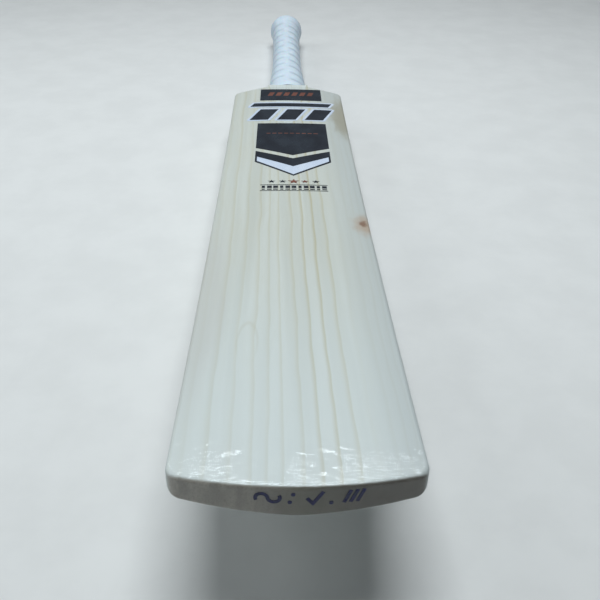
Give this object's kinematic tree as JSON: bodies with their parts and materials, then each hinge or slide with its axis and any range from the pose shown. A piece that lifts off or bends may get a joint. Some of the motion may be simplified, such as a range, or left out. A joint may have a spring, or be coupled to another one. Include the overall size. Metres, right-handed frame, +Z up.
{
  "type": "cricket bat",
  "caption": "Short-handle cricket bat: willow blade with a V-spliced laminated cane handle, ribbed rubber grip, printed face transfers and a clear film wrap.",
  "frame": {"origin": "on the ground under the middle of the bat's box, with the bat lying on its back, face up", "axes": "+Z up, out of the hitting face; +Y along the bat from the toe to the butt of the handle; +X across the face to the right, seen from the toe"},
  "size_m": [0.1096, 0.8543, 0.0855],
  "materials": {
    "willow": "pale sanded willow, straight grain",
    "cane": "laminated cane, matt",
    "spring_rubber": "dark sheet rubber",
    "twine": "waxed binding twine, close wound",
    "grip_rubber": "white moulded rubber with chevron ribs",
    "transfer_black": "glossy printed film",
    "transfer_white": "glossy printed film",
    "transfer_red": "metallic red-brown print",
    "pen_ink": "blue marker ink",
    "clear_film": "thin clear shrink film"
  },
  "bodies": {
    "root": {"cane_back_left": "cane", "cane_back_middle": "cane", "cane_back_right": "cane", "cane_front_left": "cane", "cane_front_middle": "cane", "cane_front_right": "cane", "cane_inner_back_left": "cane", "cane_inner_back_middle": "cane", "cane_inner_back_right": "cane", "cane_inner_front_left": "cane", "cane_inner_front_middle": "cane", "cane_inner_front_right": "cane", "film_wrap": "clear_film", "handle_twine": "twine", "rubber_grip": "grip_rubber", "rubber_spring_lower": "spring_rubber", "rubber_spring_middle": "spring_rubber", "rubber_spring_upper": "spring_rubber", "toe_pen_marks": "pen_ink", "transfer_band": "transfer_black", "transfer_band_marks": "transfer_red", "transfer_chevron_dark": "transfer_black", "transfer_chevron_white": "transfer_white", "transfer_emblem": "transfer_black", "transfer_emblem_border": "transfer_white", "transfer_ruled_line": "transfer_black", "transfer_shield": "transfer_black", "transfer_shield_marks": "transfer_red", "transfer_stars_dark": "transfer_black", "transfer_stars_red": "transfer_red", "willow_blade": "willow"}
  },
  "joints": []
}
